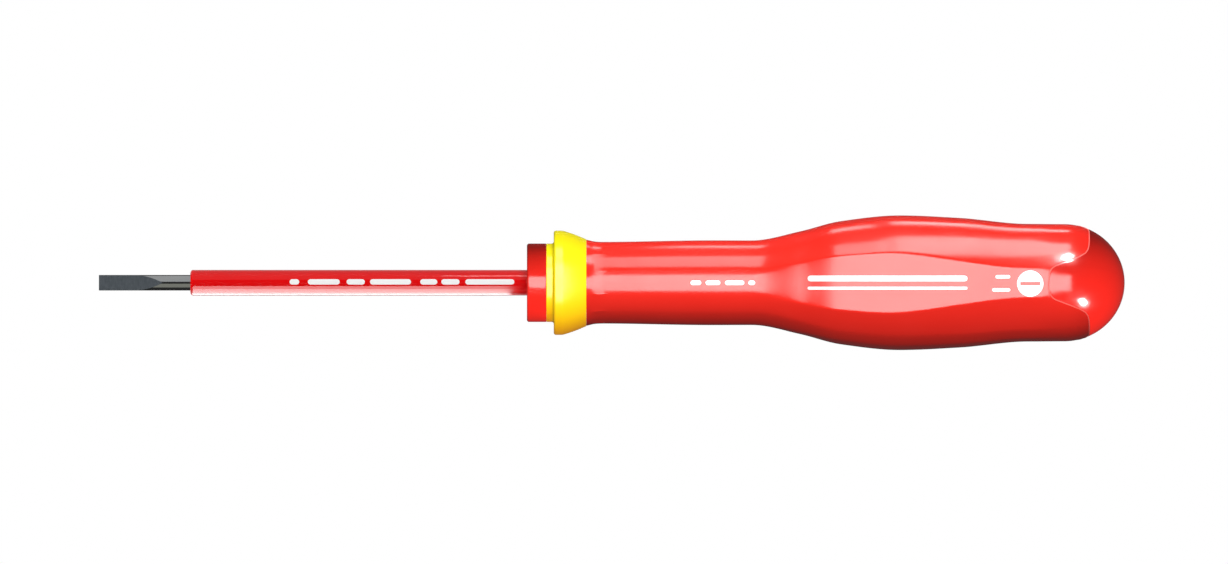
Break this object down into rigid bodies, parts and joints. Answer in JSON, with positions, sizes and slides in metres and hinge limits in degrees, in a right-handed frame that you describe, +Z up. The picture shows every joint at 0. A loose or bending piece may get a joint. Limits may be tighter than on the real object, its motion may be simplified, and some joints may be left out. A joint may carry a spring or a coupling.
{
  "type": "insulated screwdriver",
  "caption": "Slotted screwdriver with an insulating sheath on its blade, a nose collar, a flared finger guard, a three-lobed soft grip and a domed butt cap.",
  "frame": {"origin": "centre of the blade's end face, on the tool's long axis", "axes": "-X points out of the blade's tip and +X runs back along the handle; +Z is up with the slotted tip's wide faces looking along -Y and +Y, and one main flat of the handle facing -Y"},
  "size_m": [0.1797, 0.0225, 0.0234],
  "materials": {
    "burnished_steel": "burnished grey, ground tip flats",
    "insulating_sheath_red": "smooth extruded insulation",
    "hard_plastic_red": "moulded, glossy",
    "hard_plastic_yellow": "moulded, satin gloss",
    "core_plastic_red": "moulded, unseen",
    "soft_grip_red": "moulded soft grip, satin"
  },
  "bodies": {
    "root": {"blade": "burnished_steel", "blade_sheath": "insulating_sheath_red", "nose_collar": "hard_plastic_red", "guard_ring": "hard_plastic_yellow", "handle_core": "core_plastic_red", "grip_sleeve": "soft_grip_red", "butt_cap": "hard_plastic_red"}
  },
  "joints": []
}
